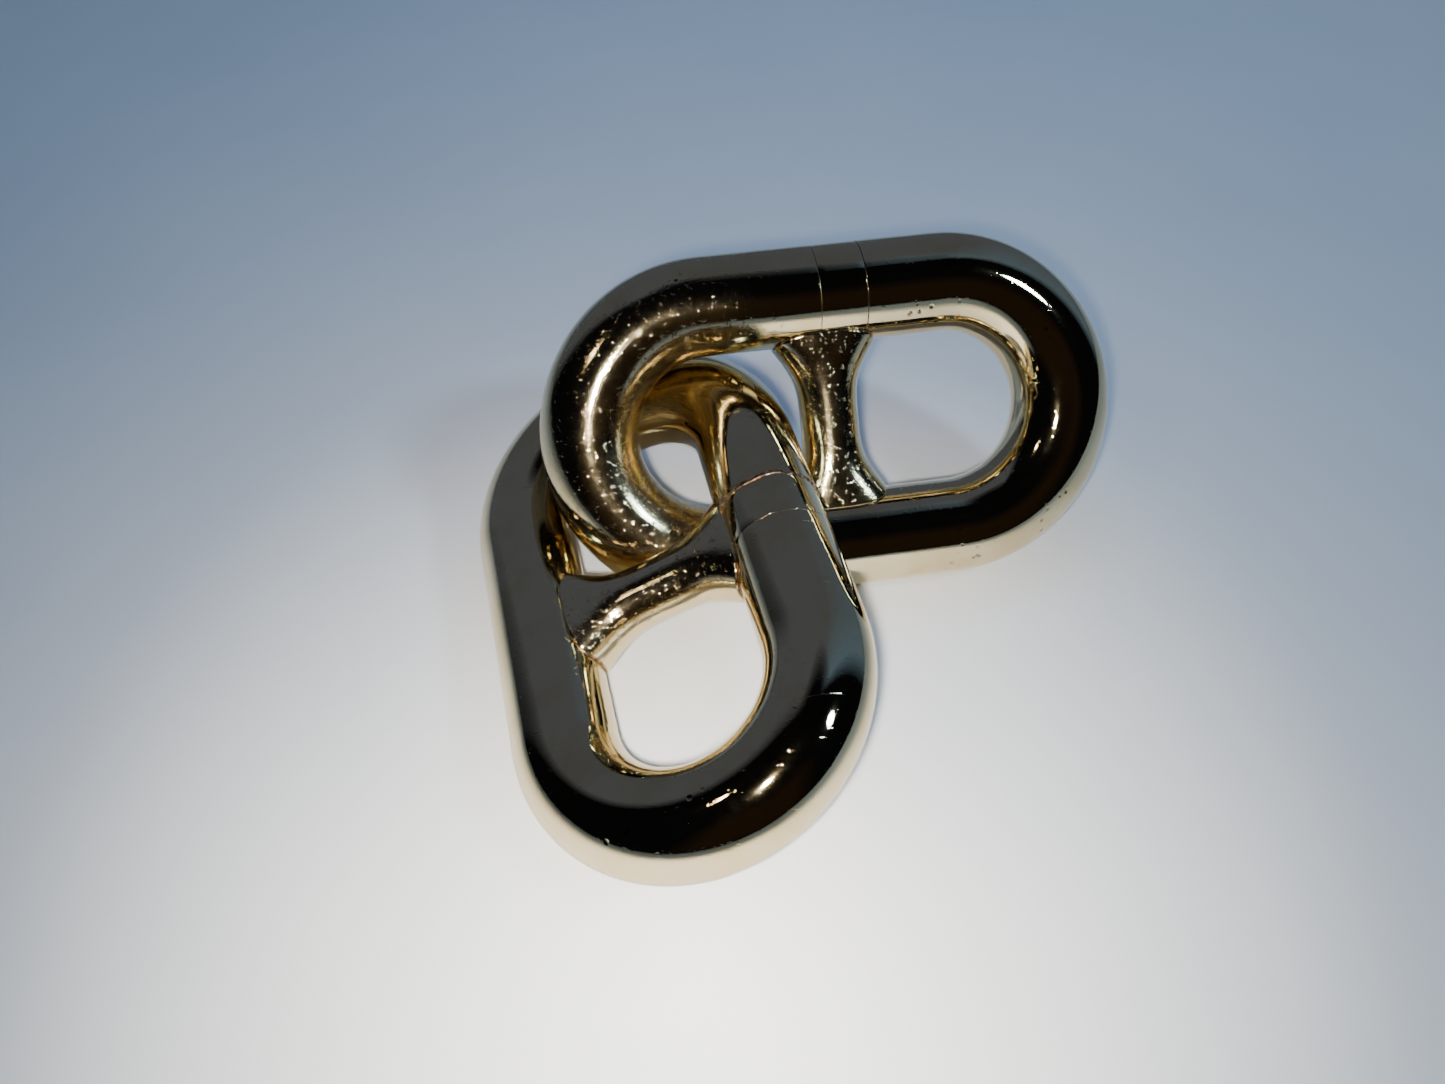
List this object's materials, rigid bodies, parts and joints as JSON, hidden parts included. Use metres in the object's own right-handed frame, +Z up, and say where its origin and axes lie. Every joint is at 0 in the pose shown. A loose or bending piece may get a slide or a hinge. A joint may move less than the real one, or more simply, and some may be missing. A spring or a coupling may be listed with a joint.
{
  "type": "interlinked chain link puzzle",
  "caption": "Interlocked pair of polished metal stud links: each is an oval ring of round bar with a waisted cross stud, hooked through the other's eye and lying on a table.",
  "frame": {"origin": "on the table, under the middle of the whole object's footprint", "axes": "+Z up, +X along the leaning link's long side, +Y away from the viewer"},
  "size_m": [0.1208, 0.1068, 0.0527],
  "materials": {
    "nickel": "mirror-polished nickel plate, faintly warm, with fine pits and scratches",
    "braze": "dull copper-brown filler metal in the seams"
  },
  "bodies": {
    "link_a": {"link_a_bar": "nickel", "link_a_closing_plug": "nickel", "link_a_seam_braze_1": "braze", "link_a_seam_braze_2": "braze", "link_a_stud": "nickel", "link_a_foot_braze_low": "braze", "link_a_foot_braze_high": "braze"},
    "link_b": {"link_b_bar": "nickel", "link_b_closing_plug": "nickel", "link_b_seam_braze_1": "braze", "link_b_seam_braze_2": "braze", "link_b_stud": "nickel", "link_b_foot_braze_low": "braze", "link_b_foot_braze_high": "braze"}
  },
  "joints": [
    {"name": "link_b_swing", "type": "hinge", "parent": "link_a", "child": "link_b", "pos_m": [-0.025, 0.024, 0.018], "axis": [0, 0, 1], "range_deg": [-38, 0]}
  ]
}
